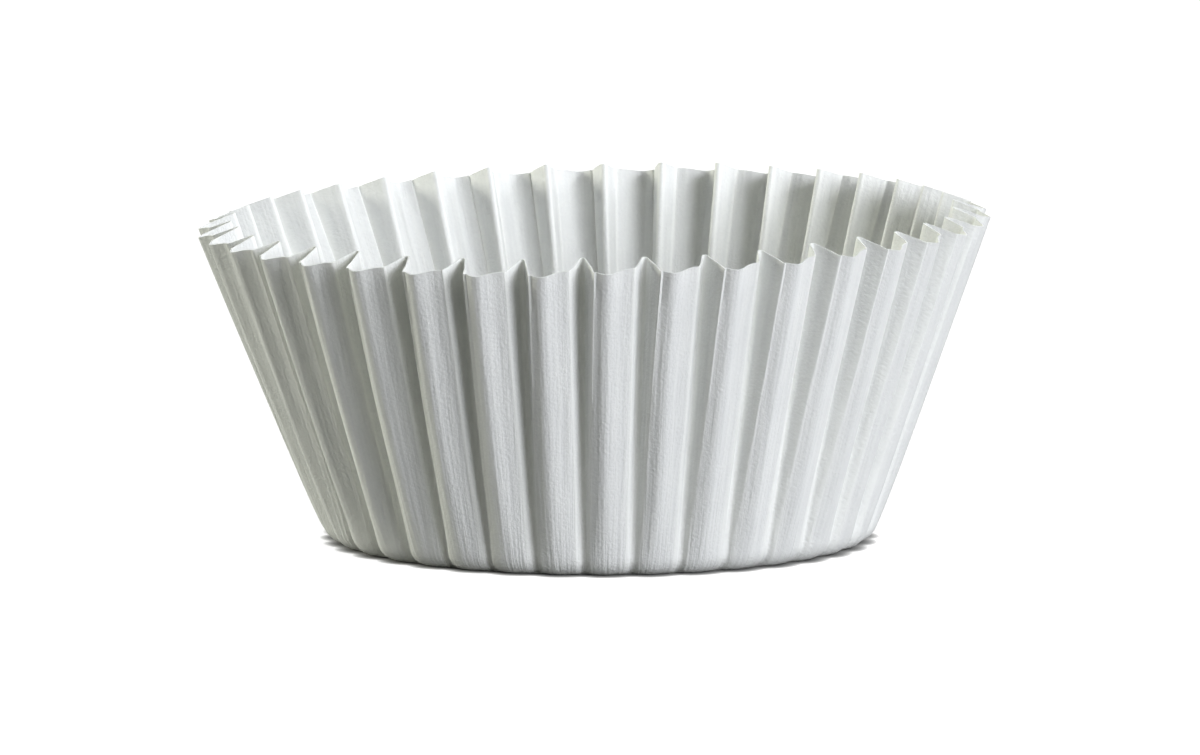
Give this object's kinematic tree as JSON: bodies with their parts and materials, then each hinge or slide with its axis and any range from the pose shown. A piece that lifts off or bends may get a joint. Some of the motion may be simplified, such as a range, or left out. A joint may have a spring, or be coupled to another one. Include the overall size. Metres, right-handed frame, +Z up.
{
  "type": "cupcake liner",
  "caption": "Round pleated paper cup with a flat base and a flared, fluted wall, for baking and serving a cupcake.",
  "frame": {"origin": "centre of the underside of the flat base, on the surface that the cup stands on", "axes": "+Z up along the cup's axis, towards the open mouth; an outer pleat is centred on -Y, the front"},
  "size_m": [0.0734, 0.0736, 0.0307],
  "materials": {
    "paper": "matte"
  },
  "bodies": {
    "root": {"liner": "paper"}
  },
  "joints": []
}
